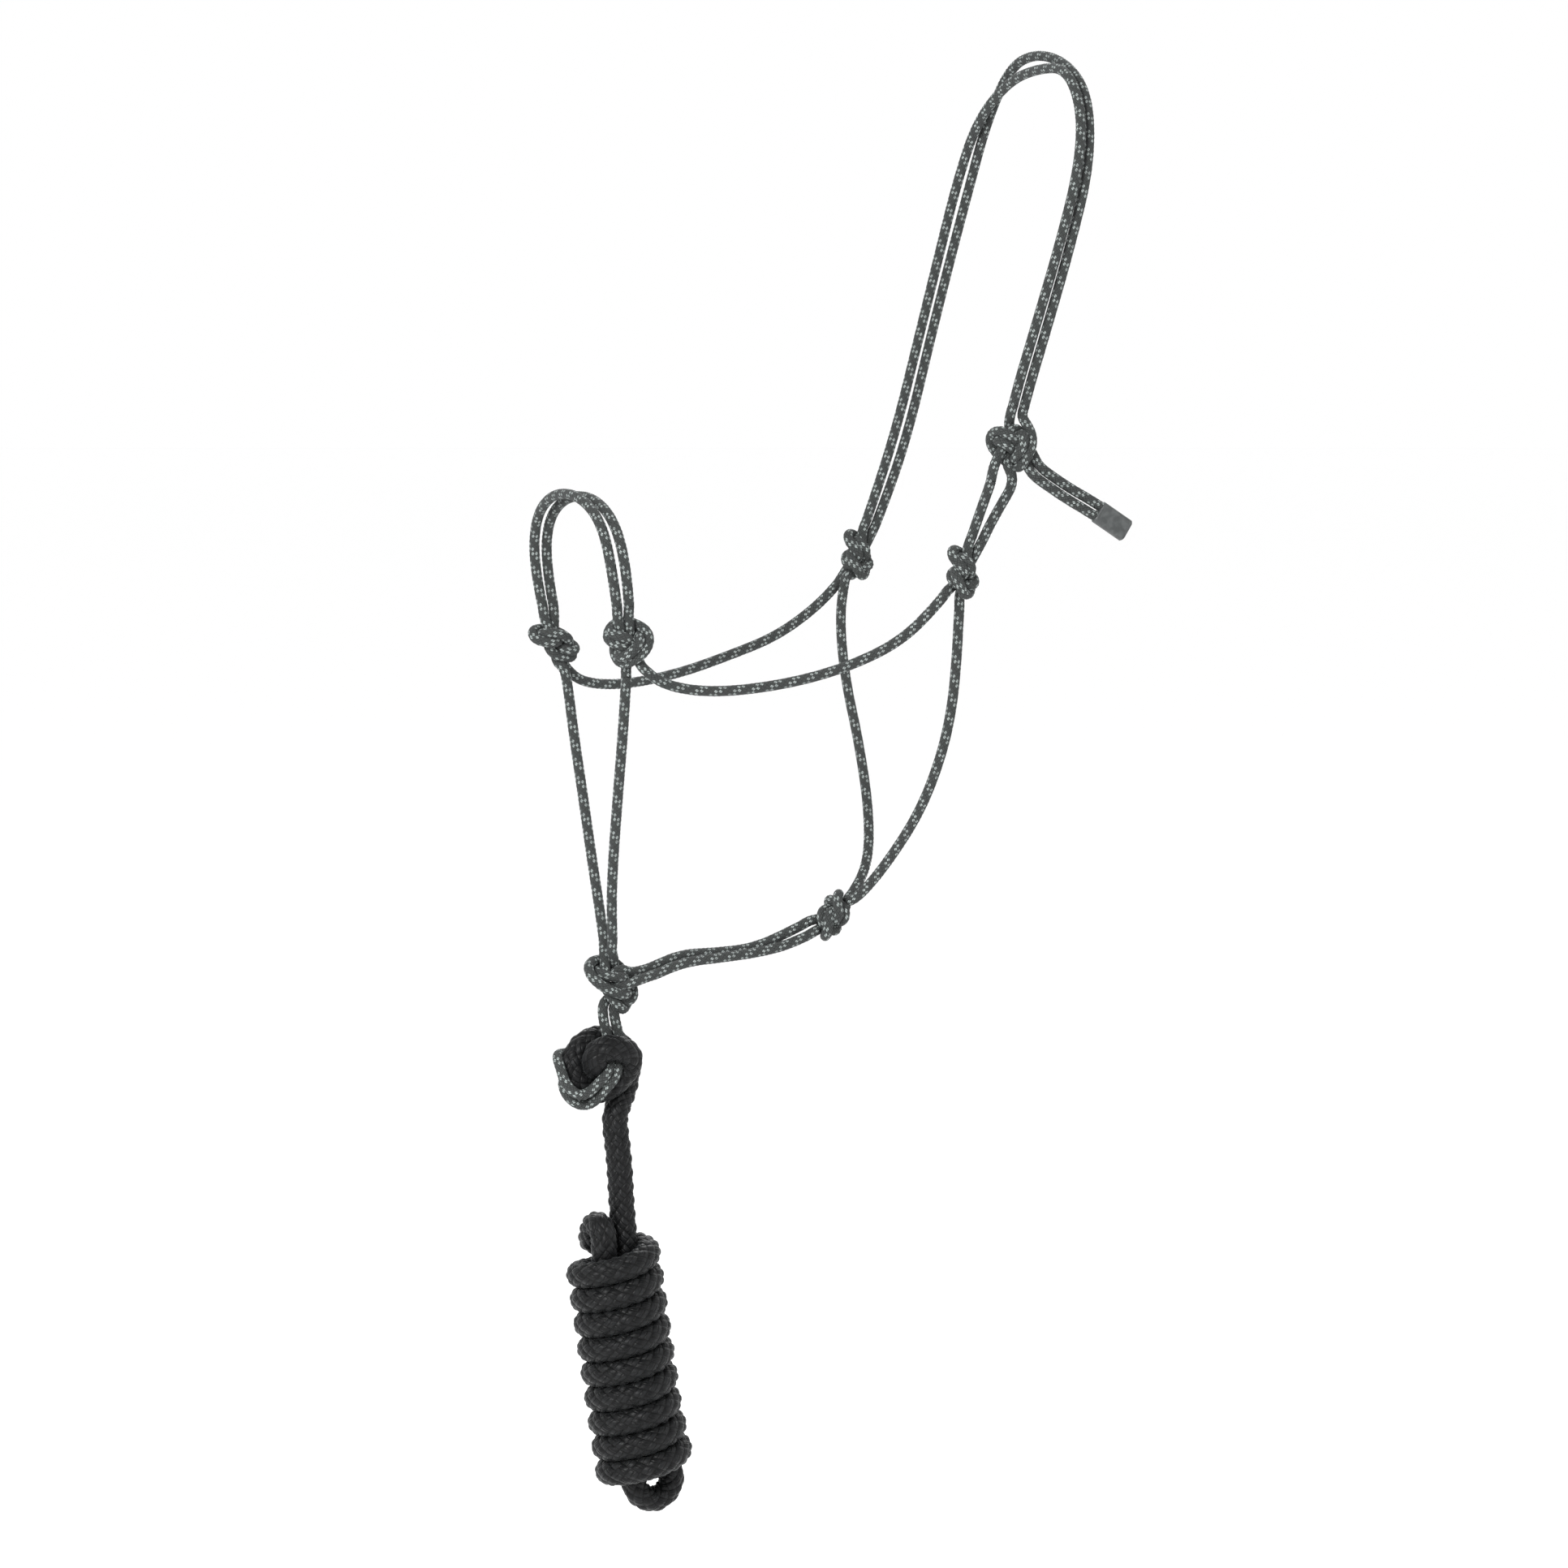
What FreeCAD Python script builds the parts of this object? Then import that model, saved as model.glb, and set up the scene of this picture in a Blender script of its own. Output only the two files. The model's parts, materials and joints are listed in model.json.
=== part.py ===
"""Rope halter with its lead rope, in millimetres.

The halter is as it lies on a horse's head: the nose points to -X, the back of the head to +X, the near
(left) side is -Y, the off (right) side +Y, and +Z is up. The origin is where the crown rests on the poll.
One thin cord makes the whole halter, so its nodes are its knots and the stretches between them. A thick
lead rope is hitched to the loop under the chin and hangs down, wound up into a hank.
"""
import FreeCAD, Part
import math
import os

os.makedirs("parts", exist_ok=True)
V = FreeCAD.Vector

# ---- driving dimensions -------------------------------------------------------------------------
CORD_D = 6.2                      # the halter's cord
LEAD_D = 15.5                     # the lead rope
CORD_R = CORD_D / 2
LEAD_R = LEAD_D / 2
PAIR_GAP = 0.4                    # between two cords that lie side by side
PAIR_PITCH = CORD_D + PAIR_GAP

ARC_SHARE = 0.45                  # how much of the shorter run an arc takes on each side of its point

# knots: centre of each, and the direction that its cords leave upwards
CHEEK_OFF = V(-88, 80, -298)
CHEEK_NEAR = V(-95, -80, -305)
NOSE_OFF = V(-307, 53, -348)
NOSE_NEAR = V(-305, -53, -344)
THROAT = V(-144, 0, -519)
CHIN = V(-291, 0, -553)
TIE = V(-64, -84, -229)
HITCH = V(-299, 0, -605)

CROWN_LEAN = V(0.40, 0, 0.92)     # the crown's direction where it leaves the cheek knots
NOSE_LEAN = V(-0.18, 0, 0.98)     # the noseband's direction where it leaves the nose knots
THROAT_LEAN = V(0.87, 0, 0.49)    # the throat cords' direction where they leave the throat knot
UPRIGHT = V(0, 0, 1)

COLLAR_R = 9.3                    # middle of the cord in a small knot's two turns
COLLAR_RISE = 4.2                 # from the knot's centre up to each turn
TIE_COLLAR_R = 11.2
TIE_COLLAR_RISE = 5.4
CHIN_COLLAR_R = 12.3
CHIN_COLLAR_RISE = 5.6

# the lead's hitch, its hank and the two bights that stick out of the hank
HITCH_RING_R = 16.5               # middle of the thick rope in the hitch's round turn
HITCH_BAND = (V(-317, -12, -597), V(-280, -12, -593))   # the stretch that crosses in front of it
LOOP_TURN_ANGLES = {"chin_loop_turn_upper": 162, "chin_loop_turn_lower": 240}
HANK_TOP = V(-292.5, 0, -725)     # middles of the hank's first and last turns
HANK_BOTTOM = V(-274, 0, -848)
HANK_TURNS = 9
HANK_R = 21.7                     # middle of the rope in the hank's turns
TOP_BIGHT = V(-302.4, 0, -711.5)
TOP_BIGHT_R = 8.2
TOP_BIGHT_LEG = 16.0
BOTTOM_BIGHT = V(-266.5, 0, -859.5)
BOTTOM_BIGHT_R = 13.0
BOTTOM_BIGHT_LEG = 14.0

# the bonded sleeve that holds the two tail ends together
SLEEVE_LENGTH = 23.0
SLEEVE_R = 3.5
SLEEVE_START = V(-9.6, -93, -268.3)
SLEEVE_DIRECTION = V(0.84, -0.06, -0.535)
SLEEVE_ACROSS = V(0.535, 0, 0.84)

# ---- routes: the points that each cord's straight runs meet at ----------------------------------
ROUTES = {
    # from the off cheek knot over the poll to the tie knot, two cords side by side
    "crown_front_strand": [
        (-85.0, 80.5, -283.6), (-72, 82, -252), (-57.5, 83.5, -211), (-44.5, 84.5, -165),
        (-29, 84.5, -108), (-17, 82, -60), (-10.5, 67, -22), (-8, 28, 1), (-8, -14, 6),
        (-8.5, -50, 3), (-11, -74, -24), (-18, -83, -60), (-32, -84.5, -107),
        (-48.5, -84.5, -157), (-62.5, -84, -200), (-67, -84, -219)],
    "crown_rear_strand": [
        (-78.8, 80.5, -286.2), (-63, 82, -252), (-48.5, 83.5, -211), (-36, 84.5, -165),
        (-20.5, 84, -108), (-9, 80, -62), (-3, 68, -22), (0, 42, 11), (0.5, 6, 17),
        (0, -36, 7), (-2, -66, -16), (-9, -80, -58), (-24, -83.5, -107),
        (-40.5, -84.5, -157), (-54.5, -84, -200), (-59.5, -84, -219)],
    # the loop that the crown is tied to, from the tie knot down to the near cheek knot
    "tie_loop_front": [
        (-73, -84, -233), (-77, -83, -249), (-83.5, -82, -266), (-92.2, -80.4, -290.9)],
    "tie_loop_rear": [
        (-58, -84, -238), (-62, -83.2, -251), (-72, -82, -267), (-80, -81, -281),
        (-86.0, -80.4, -293.6)],
    # the crown's two ends behind the tie knot
    "tail_upper": [
        (-51.0, -90.5, -239.6), (-33, -91.5, -251.8), (-10, -93, -263.6), (4.6, -94, -273.0)],
    "tail_lower": [
        (-55.0, -90.5, -245.0), (-36.5, -91.5, -257.4), (-14, -92.8, -269.6), (1.2, -94, -278.6)],
    # the two cords over the nose
    "noseband_front_strand": [
        (-313.2, 55, -334.4), (-318.5, 61, -303), (-320.5, 53, -272), (-322, 22, -257),
        (-322, -20, -257.5), (-320.5, -51, -273), (-318, -62, -303), (-311.4, -55, -330.2)],
    "noseband_rear_strand": [
        (-306.3, 55.5, -333.2), (-310, 62, -303), (-312, 54, -274), (-313.5, 22, -259),
        (-313.5, -21, -258.5), (-312.5, -53, -273), (-310, -65, -303), (-304.4, -55.5, -329.0)],
    # cheek knot to nose knot
    "cheek_strand_off": [
        (-90.5, 83, -303), (-100.5, 83, -316), (-120, 81.5, -333), (-148, 77, -349),
        (-181, 72, -359.5), (-218, 66.5, -370), (-256, 61.5, -376), (-283.5, 58.5, -375),
        (-298, 57, -367.5), (-303.5, 56.5, -356)],
    "cheek_strand_near": [
        (-100.5, -83.2, -309), (-113.5, -83, -324), (-137, -80.5, -346), (-168, -75.5, -360.5),
        (-205, -70, -370.5), (-249.5, -65, -375.5), (-280, -60, -372), (-296.5, -58, -362),
        (-303.4, -57, -351)],
    # cheek knot to throat knot
    "throat_strand_off": [
        (-96.5, 76.6, -305), (-101.5, 76.6, -322), (-102, 77, -348), (-99.5, 73.5, -380),
        (-95.5, 64, -415), (-97.5, 45, -456), (-108, 23, -488), (-126, 8.5, -507),
        (-137, 3.4, -514.5)],
    "throat_strand_near": [
        (-94.5, -76.8, -311), (-96, -76.8, -328), (-97.3, -76.5, -357), (-98.7, -73, -388),
        (-102, -65, -418), (-107, -47, -452), (-117, -25, -483), (-129, -9, -506),
        (-138, -3.4, -514.5)],
    # throat knot to chin knot, two cords under the jaw
    "jaw_strand_upper": [
        (-150, 1.8, -518), (-172, 2.2, -528), (-197, 3.5, -537.5), (-222, 3.5, -539),
        (-245, 3.4, -539), (-264, 3.5, -545.5), (-281, 3.5, -552)],
    "jaw_strand_lower": [
        (-150, -1.8, -525.5), (-172, -2.4, -535), (-197, -3.5, -539.5), (-222, -3.5, -541.5),
        (-245, -3.4, -543), (-264, -3.5, -549), (-281, -3.5, -556)],
    # nose knot to chin knot
    "chin_strand_off": [
        (-304.5, 49.8, -355), (-301.5, 48.8, -372), (-300, 42.5, -404), (-299.5, 28.5, -443),
        (-299, 15.5, -482), (-297.5, 6.5, -513), (-294.5, 3.6, -543)],
    "chin_strand_near": [
        (-303.5, -49.8, -350), (-303.7, -48.3, -368), (-303.2, -42.0, -400), (-301, -28.5, -440),
        (-298.5, -15, -481), (-296, -6.5, -511), (-293.5, -3.6, -543)],
    # the doubled loop under the chin knot, down to the lead's hitch
    "chin_loop_front": [(-298.5, -0.5, -571.5), (-298.8, -0.5, -580), (-300.5, -0.5, -589)],
    "chin_loop_rear": [(-291.5, 0.5, -571.5), (-291.2, 0.5, -580), (-292.5, 0.5, -589)],
    # the lead from its hitch down to the hank
    "lead_standing_part": [
        (-293.4, 0, -630.6), (-290, 0, -648), (-288, 0, -668), (-287.1, 0, -688), (-284.7, 0, -714.2)],
}
LEAD_NODES = ("lead_standing_part",)


def unit(vector):
    return V(vector).normalize()


def rounded_route(points):
    """Straight runs joined by tangent arcs. Returns the wire and the smallest radius."""
    corners = [V(*point) for point in points]
    edges = []
    radii = []
    here = corners[0]
    for before, corner, after in zip(corners, corners[1:], corners[2:]):
        back = before - corner
        ahead = after - corner
        reach = ARC_SHARE * min(back.Length, ahead.Length)
        half_turn = (math.pi - back.getAngle(ahead)) / 2
        radius = reach / math.tan(half_turn)
        arc_start = corner + unit(back) * reach
        arc_end = corner + unit(ahead) * reach
        middle = unit(unit(back) + unit(ahead))
        arc_middle = corner + middle * (radius / math.cos(half_turn) - radius)
        edges.append(Part.LineSegment(here, arc_start).toShape())
        edges.append(Part.Arc(arc_start, arc_middle, arc_end).toShape())
        radii.append(radius)
        here = arc_end
    edges.append(Part.LineSegment(here, corners[-1]).toShape())
    return Part.Wire(edges), min(radii)


def tube(points, radius):
    """A round cord along a route."""
    path, tightest = rounded_route(points)
    start = V(*points[0])
    ring = Part.makeCircle(radius, start, V(*points[1]) - start)
    solid = path.makePipeShell([Part.Wire([ring])], True, False)
    return solid, path.Length, tightest


def torus(centre, axis, ring_radius, cord_radius):
    return Part.makeTorus(ring_radius, cord_radius, centre, axis)


def collared_knot(centre, axis, ring_radius, rise):
    """Two turns of the cord drawn up against each other round a core."""
    along = unit(axis)
    solid = Part.makeSphere(ring_radius, centre)
    for side in (-1, 1):
        solid = solid.fuse(torus(centre + along * (side * rise), along, ring_radius, CORD_R))
    return solid.removeSplitter()


def lead_hitch():
    """A round turn of the lead rope, with the stretch that crosses in front of its top."""
    left, right = HITCH_BAND
    ring = torus(HITCH, V(0, 1, 0), HITCH_RING_R, LEAD_R)
    band = Part.makeCylinder(LEAD_R, (right - left).Length, left, right - left)
    band = band.fuse(Part.makeSphere(LEAD_R, left)).fuse(Part.makeSphere(LEAD_R, right))
    return ring.fuse(band).removeSplitter()


def chin_loop_turn(angle):
    """One turn of the thin cord round the left of the hitch; the angle is from +X towards +Z."""
    turn = math.radians(angle)
    place = HITCH + V(math.cos(turn), 0, math.sin(turn)) * HITCH_RING_R
    along = V(-math.sin(turn), 0, math.cos(turn))
    return torus(place, along, LEAD_R + CORD_R + PAIR_GAP, CORD_R)


def bight(middle, across, ring_radius, leg, upward):
    """A half ring of the lead rope with two short legs."""
    side = unit(across)
    rise = V(0, 0, 1 if upward else -1)
    ends = [middle - side * ring_radius, middle + side * ring_radius]
    feet = [end - rise * leg for end in ends]
    edges = [Part.LineSegment(feet[0], ends[0]).toShape(),
             Part.Arc(ends[0], middle + rise * ring_radius, ends[1]).toShape(),
             Part.LineSegment(ends[1], feet[1]).toShape()]
    ring = Part.makeCircle(LEAD_R, feet[0], rise)
    return Part.Wire(edges).makePipeShell([Part.Wire([ring])], True, False)


def hank_turns():
    """The outer shape of the hank's turns: a column with one round rib per turn."""
    along = HANK_BOTTOM - HANK_TOP
    pitch = along.Length / (HANK_TURNS - 1)
    column = Part.makeCylinder(HANK_R, along.Length, HANK_TOP, along)
    for index in range(HANK_TURNS):
        place = HANK_TOP + unit(along) * (pitch * index)
        column = column.fuse(torus(place, along, HANK_R, pitch / 2 + PAIR_GAP))
    return column.removeSplitter()


def tail_end_sleeve():
    """A flat round-edged sleeve round both tail ends, cut square."""
    along = unit(SLEEVE_DIRECTION)
    across = unit(SLEEVE_ACROSS)
    reach = across * (PAIR_PITCH / 2 - PAIR_GAP)
    back = unit(along.cross(across)) * SLEEVE_R
    top = SLEEVE_START + reach
    low = SLEEVE_START - reach
    outline = Part.Wire([
        Part.LineSegment(top + back, low + back).toShape(),
        Part.Arc(low + back, low - across * SLEEVE_R, low - back).toShape(),
        Part.LineSegment(low - back, top - back).toShape(),
        Part.Arc(top - back, top + across * SLEEVE_R, top + back).toShape()])
    return Part.Face(outline).extrude(along * SLEEVE_LENGTH)


def save(name, shape):
    if not shape.isValid():
        raise ValueError(name + " is not a valid solid")
    shape.exportStep("parts/" + name + ".step")


for node, points in ROUTES.items():
    radius = LEAD_R if node in LEAD_NODES else CORD_R
    cord, length, tightest = tube(points, radius)
    fill = cord.Volume / (math.pi * radius ** 2 * length)
    print(f"{node}: length {length:.0f}, smallest radius {tightest:.0f}, volume ratio {fill:.4f}")
    save(node, cord)

save("cheek_knot_off", collared_knot(CHEEK_OFF, CROWN_LEAN, COLLAR_R, COLLAR_RISE))
save("cheek_knot_near", collared_knot(CHEEK_NEAR, CROWN_LEAN, COLLAR_R, COLLAR_RISE))
save("nose_knot_off", collared_knot(NOSE_OFF, NOSE_LEAN, COLLAR_R, COLLAR_RISE))
save("nose_knot_near", collared_knot(NOSE_NEAR, NOSE_LEAN, COLLAR_R, COLLAR_RISE))
save("throat_knot", collared_knot(THROAT, THROAT_LEAN, COLLAR_R, COLLAR_RISE))
save("chin_knot", collared_knot(CHIN, UPRIGHT, CHIN_COLLAR_R, CHIN_COLLAR_RISE))
save("tie_knot", collared_knot(TIE, CROWN_LEAN, TIE_COLLAR_R, TIE_COLLAR_RISE))
save("tail_end_sleeve", tail_end_sleeve())
save("lead_hitch", lead_hitch())
for node, angle in LOOP_TURN_ANGLES.items():
    save(node, chin_loop_turn(angle))
save("hank_top_bight", bight(TOP_BIGHT, V(0, 1, 0), TOP_BIGHT_R, TOP_BIGHT_LEG, True))
save("hank_bottom_bight", bight(BOTTOM_BIGHT, V(1, 0, 0), BOTTOM_BIGHT_R, BOTTOM_BIGHT_LEG, False))
save("hank_turns", hank_turns())
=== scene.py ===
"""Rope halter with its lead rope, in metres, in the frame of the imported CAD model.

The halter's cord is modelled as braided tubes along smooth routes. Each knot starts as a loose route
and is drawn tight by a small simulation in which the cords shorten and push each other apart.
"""
import bpy
import json
import math
import numpy as np
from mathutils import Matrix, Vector


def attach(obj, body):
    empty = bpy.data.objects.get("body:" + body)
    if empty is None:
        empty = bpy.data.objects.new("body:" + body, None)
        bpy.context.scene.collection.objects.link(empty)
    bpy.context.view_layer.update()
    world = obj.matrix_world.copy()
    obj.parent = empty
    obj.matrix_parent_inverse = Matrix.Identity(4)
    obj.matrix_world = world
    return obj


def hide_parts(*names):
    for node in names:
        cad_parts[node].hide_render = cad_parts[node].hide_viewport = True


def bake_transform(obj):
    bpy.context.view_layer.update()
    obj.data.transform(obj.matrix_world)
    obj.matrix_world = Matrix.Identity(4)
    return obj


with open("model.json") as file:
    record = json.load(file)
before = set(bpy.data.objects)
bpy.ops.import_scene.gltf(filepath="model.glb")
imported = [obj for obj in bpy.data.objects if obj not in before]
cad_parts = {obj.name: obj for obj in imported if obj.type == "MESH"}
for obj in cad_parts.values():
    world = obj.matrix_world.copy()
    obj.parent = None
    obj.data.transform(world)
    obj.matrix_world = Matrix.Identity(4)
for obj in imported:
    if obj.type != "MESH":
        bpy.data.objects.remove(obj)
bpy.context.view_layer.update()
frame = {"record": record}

# ---- driving dimensions -------------------------------------------------------------------------
CORD_D = 0.0062                   # the halter's cord
LEAD_D = 0.0155                   # the lead rope
CORD_R = CORD_D / 2
LEAD_R = LEAD_D / 2
PAIR_PITCH = 0.0066               # between the middles of two cords that lie side by side

# knots: centre of each, and the direction that its cords leave upwards
KNOT_PLACES = {
    "cheek_knot_off": ((-0.088, 0.080, -0.298), (0.40, 0, 0.92)),
    "cheek_knot_near": ((-0.095, -0.080, -0.305), (0.40, 0, 0.92)),
    "nose_knot_off": ((-0.307, 0.053, -0.348), (-0.18, 0, 0.98)),
    "nose_knot_near": ((-0.305, -0.053, -0.344), (-0.18, 0, 0.98)),
    "throat_knot": ((-0.144, 0, -0.519), (0.87, 0, 0.49)),
    "chin_knot": ((-0.291, 0, -0.553), (0, 0, 1)),
    "tie_knot": ((-0.064, -0.084, -0.229), (0.40, 0, 0.92)),
}

# the braids: carriers each way round, length of a full turn of a yarn, height of a lump
CORD_BRAID = {"carriers": 8, "turn": 0.0234, "lump": 0.00034, "around": 32, "step": 0.00073}
LEAD_BRAID = {"carriers": 6, "turn": 0.048, "lump": 0.0014, "around": 42, "step": 0.0011}

# the camera, 25 degrees to the halter's near side and 4 degrees above it
CAMERA_PLACE = (-1.4422, -2.7123, -0.2270)
CAMERA_TARGET = (-0.1775, 0, -0.4363)
CAMERA_LENS = 111.8
CAMERA_SENSOR = 36
CAMERA_SIDE = (-0.42, -0.90, 0.07)       # from the halter towards the camera

# the studio: each light's place, size and power
LIGHTS = {
    "key_light": ((-2.6, -2.0, 1.0), 1.2, 150),
    "fill_light": ((2.4, -2.2, 0.4), 2.0, 25),
    "back_light": ((1.2, 2.6, 1.8), 1.6, 40),
}
FLOOR_Z = -1.35
FLOOR_SIZE = 2000                 # so large that no edge of it shows
FLOOR_ROUGHNESS = 0.9
FLOOR_SPECULAR = 0.1
WHITE = (1, 1, 1, 1)

# splines and tubes
SPLINE_ORDER = 3
SPLINE_STEPS = 16                 # points that a spline makes for each of its control points
FEWEST_POINTS = 8                 # along a tube
LINE_EASING = 4                   # passes that ease a tube's line
LINE_GAP = 0.0005                 # between the points of a fine line
LUMP_MIDDLE = 0.68                # the mean of a lump's height
ANY_SIDE = (0.31, 0.87, 0.38)     # lies along none of the cords

# how the knots are drawn tight
JUNCTION = {                      # a knot's own cord reaches this far from its centre
    "cheek_knot_off": 0.022, "cheek_knot_near": 0.022, "nose_knot_off": 0.022,
    "nose_knot_near": 0.022, "throat_knot": 0.022, "tie_knot": 0.025, "chin_knot": 0.026}
SQUEEZE = 0.90                    # cords that press on each other are this much closer than their thickness
TIGHTEST_BEND = 0.62              # smallest radius of a cord's middle, in thicknesses
NEAR = 1.5                        # cords nearer than this many times their room are watched
SAME_CORD_GAP = 1.05              # along one cord, nearer points than this many times their room aren't
HELD_SHARE = 0.3                  # the share of a knot's cord at each end that feels less of its centring
CENTRING = 0.3                    # the share of its way back to the knot's centre in each sorting
MOST_PUSH = 0.0004                # the furthest that a point is pushed at once
PUSH_SHARE = 0.35
PUSHES = 2                        # in each round
SORTING_ROUNDS = 8                # rounds between two searches for cords that are near each other
HELD_POINTS = 6                   # at each end of a cord, which keep its way into the knot
LAST_EASING = 10                  # passes that ease a finished cord
ENDS_KEPT = 2                     # points at each end that the last easing leaves
LOOSE_POINTS = 150                # along a loose knot's middle line
LOOSE_EASING = 6
LOOSE_GAP = 0.0013                # between the points of a loose cord
LOOSE_SIZE = 0.0115               # one unit of the loose knots below
HITCH_GAP = 0.0023                # between the points of the hitch's thicker rope
# rounds, and how strongly the cords straighten in each
KNOT_ROUNDS, KNOT_PULL = 700, 0.45
TIE_ROUNDS, TIE_PULL = 450, 0.28
CHIN_ROUNDS, CHIN_PULL = 450, 0.3
HITCH_ROUNDS, HITCH_PULL = 140, 0.012
LEAD_IN = 0.007                   # how far inside its junction a knot's cord still follows its stretch

# the cords' routes, point for point as in the CAD
ROUTES = {
    "crown_front_strand": [
        (-0.085, 0.0805, -0.2836), (-0.072, 0.082, -0.252), (-0.0575, 0.0835, -0.211),
        (-0.0445, 0.0845, -0.165), (-0.029, 0.0845, -0.108), (-0.017, 0.082, -0.06),
        (-0.0105, 0.067, -0.022), (-0.008, 0.028, 0.001), (-0.008, -0.014, 0.006),
        (-0.0085, -0.05, 0.003), (-0.011, -0.074, -0.024), (-0.018, -0.083, -0.06),
        (-0.032, -0.0845, -0.107), (-0.0485, -0.0845, -0.157), (-0.0625, -0.084, -0.2),
        (-0.067, -0.084, -0.219)],
    "crown_rear_strand": [
        (-0.0788, 0.0805, -0.2862), (-0.063, 0.082, -0.252), (-0.0485, 0.0835, -0.211),
        (-0.036, 0.0845, -0.165), (-0.0205, 0.084, -0.108), (-0.009, 0.08, -0.062),
        (-0.003, 0.068, -0.022), (0, 0.042, 0.011), (0.0005, 0.006, 0.017), (0, -0.036, 0.007),
        (-0.002, -0.066, -0.016), (-0.009, -0.08, -0.058), (-0.024, -0.0835, -0.107),
        (-0.0405, -0.0845, -0.157), (-0.0545, -0.084, -0.2), (-0.0595, -0.084, -0.219)],
    "tie_loop_front": [
        (-0.073, -0.084, -0.233), (-0.077, -0.083, -0.249), (-0.0835, -0.082, -0.266),
        (-0.0922, -0.0804, -0.2909)],
    "tie_loop_rear": [
        (-0.058, -0.084, -0.238), (-0.062, -0.0832, -0.251), (-0.072, -0.082, -0.267),
        (-0.08, -0.081, -0.281), (-0.086, -0.0804, -0.2936)],
    "tail_upper": [
        (-0.051, -0.0905, -0.2396), (-0.033, -0.0915, -0.2518), (-0.01, -0.093, -0.2636),
        (0.0046, -0.094, -0.273)],
    "tail_lower": [
        (-0.055, -0.0905, -0.245), (-0.0365, -0.0915, -0.2574), (-0.014, -0.0928, -0.2696),
        (0.0012, -0.094, -0.2786)],
    "noseband_front_strand": [
        (-0.3132, 0.055, -0.3344), (-0.3185, 0.061, -0.303), (-0.3205, 0.053, -0.272),
        (-0.322, 0.022, -0.257), (-0.322, -0.02, -0.2575), (-0.3205, -0.051, -0.273),
        (-0.318, -0.062, -0.303), (-0.3114, -0.055, -0.3302)],
    "noseband_rear_strand": [
        (-0.3063, 0.0555, -0.3332), (-0.31, 0.062, -0.303), (-0.312, 0.054, -0.274),
        (-0.3135, 0.022, -0.259), (-0.3135, -0.021, -0.2585), (-0.3125, -0.053, -0.273),
        (-0.31, -0.065, -0.303), (-0.3044, -0.0555, -0.329)],
    "cheek_strand_off": [
        (-0.0905, 0.083, -0.303), (-0.1005, 0.083, -0.316), (-0.12, 0.0815, -0.333),
        (-0.148, 0.077, -0.349), (-0.181, 0.072, -0.3595), (-0.218, 0.0665, -0.37),
        (-0.256, 0.0615, -0.376), (-0.2835, 0.0585, -0.375), (-0.298, 0.057, -0.3675),
        (-0.3035, 0.0565, -0.356)],
    "cheek_strand_near": [
        (-0.1005, -0.0832, -0.309), (-0.1135, -0.083, -0.324), (-0.137, -0.0805, -0.346),
        (-0.168, -0.0755, -0.3605), (-0.205, -0.07, -0.3705), (-0.2495, -0.065, -0.3755),
        (-0.28, -0.06, -0.372), (-0.2965, -0.058, -0.362), (-0.3034, -0.057, -0.351)],
    "throat_strand_off": [
        (-0.0965, 0.0766, -0.305), (-0.1015, 0.0766, -0.322), (-0.102, 0.077, -0.348),
        (-0.0995, 0.0735, -0.38), (-0.0955, 0.064, -0.415), (-0.0975, 0.045, -0.456),
        (-0.108, 0.023, -0.488), (-0.126, 0.0085, -0.507), (-0.137, 0.0034, -0.5145)],
    "throat_strand_near": [
        (-0.0945, -0.0768, -0.311), (-0.096, -0.0768, -0.328), (-0.0973, -0.0765, -0.357),
        (-0.0987, -0.073, -0.388), (-0.102, -0.065, -0.418), (-0.107, -0.047, -0.452),
        (-0.117, -0.025, -0.483), (-0.129, -0.009, -0.506), (-0.138, -0.0034, -0.5145)],
    "jaw_strand_upper": [
        (-0.15, 0.0018, -0.518), (-0.172, 0.0022, -0.528), (-0.197, 0.0035, -0.5375),
        (-0.222, 0.0035, -0.539), (-0.245, 0.0034, -0.539), (-0.264, 0.0035, -0.5455),
        (-0.281, 0.0035, -0.552)],
    "jaw_strand_lower": [
        (-0.15, -0.0018, -0.5255), (-0.172, -0.0024, -0.535), (-0.197, -0.0035, -0.5395),
        (-0.222, -0.0035, -0.5415), (-0.245, -0.0034, -0.543), (-0.264, -0.0035, -0.549),
        (-0.281, -0.0035, -0.556)],
    "chin_strand_off": [
        (-0.3045, 0.0498, -0.355), (-0.3015, 0.0488, -0.372), (-0.3, 0.0425, -0.404),
        (-0.2995, 0.0285, -0.443), (-0.299, 0.0155, -0.482), (-0.2975, 0.0065, -0.513),
        (-0.2945, 0.0036, -0.543)],
    "chin_strand_near": [
        (-0.3035, -0.0498, -0.35), (-0.3037, -0.0483, -0.368), (-0.3032, -0.042, -0.4),
        (-0.301, -0.0285, -0.44), (-0.2985, -0.015, -0.481), (-0.296, -0.0065, -0.511),
        (-0.2935, -0.0036, -0.543)],
    "lead_standing_part": [
        (-0.2934, 0, -0.6306), (-0.29, 0, -0.648), (-0.288, 0, -0.668), (-0.2871, 0, -0.688),
        (-0.2847, 0, -0.7142)],
}


# ---- vectors and lines --------------------------------------------------------------------------
def unit(vector):
    vector = np.asarray(vector, float)
    return vector / np.linalg.norm(vector)


def distances(line):
    """How far along the line each of its points is."""
    steps = np.linalg.norm(np.diff(line, axis=0), axis=1)
    return np.concatenate([[0], np.cumsum(steps)])


def respaced(line, count):
    """The same line with evenly spaced points."""
    along = distances(line)
    places = np.linspace(0, along[-1], count)
    return np.column_stack([np.interp(places, along, line[:, axis]) for axis in range(3)])


def evenly(line, gap):
    """The same line with points about a given gap apart."""
    return respaced(line, int(distances(line)[-1] / gap))


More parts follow.
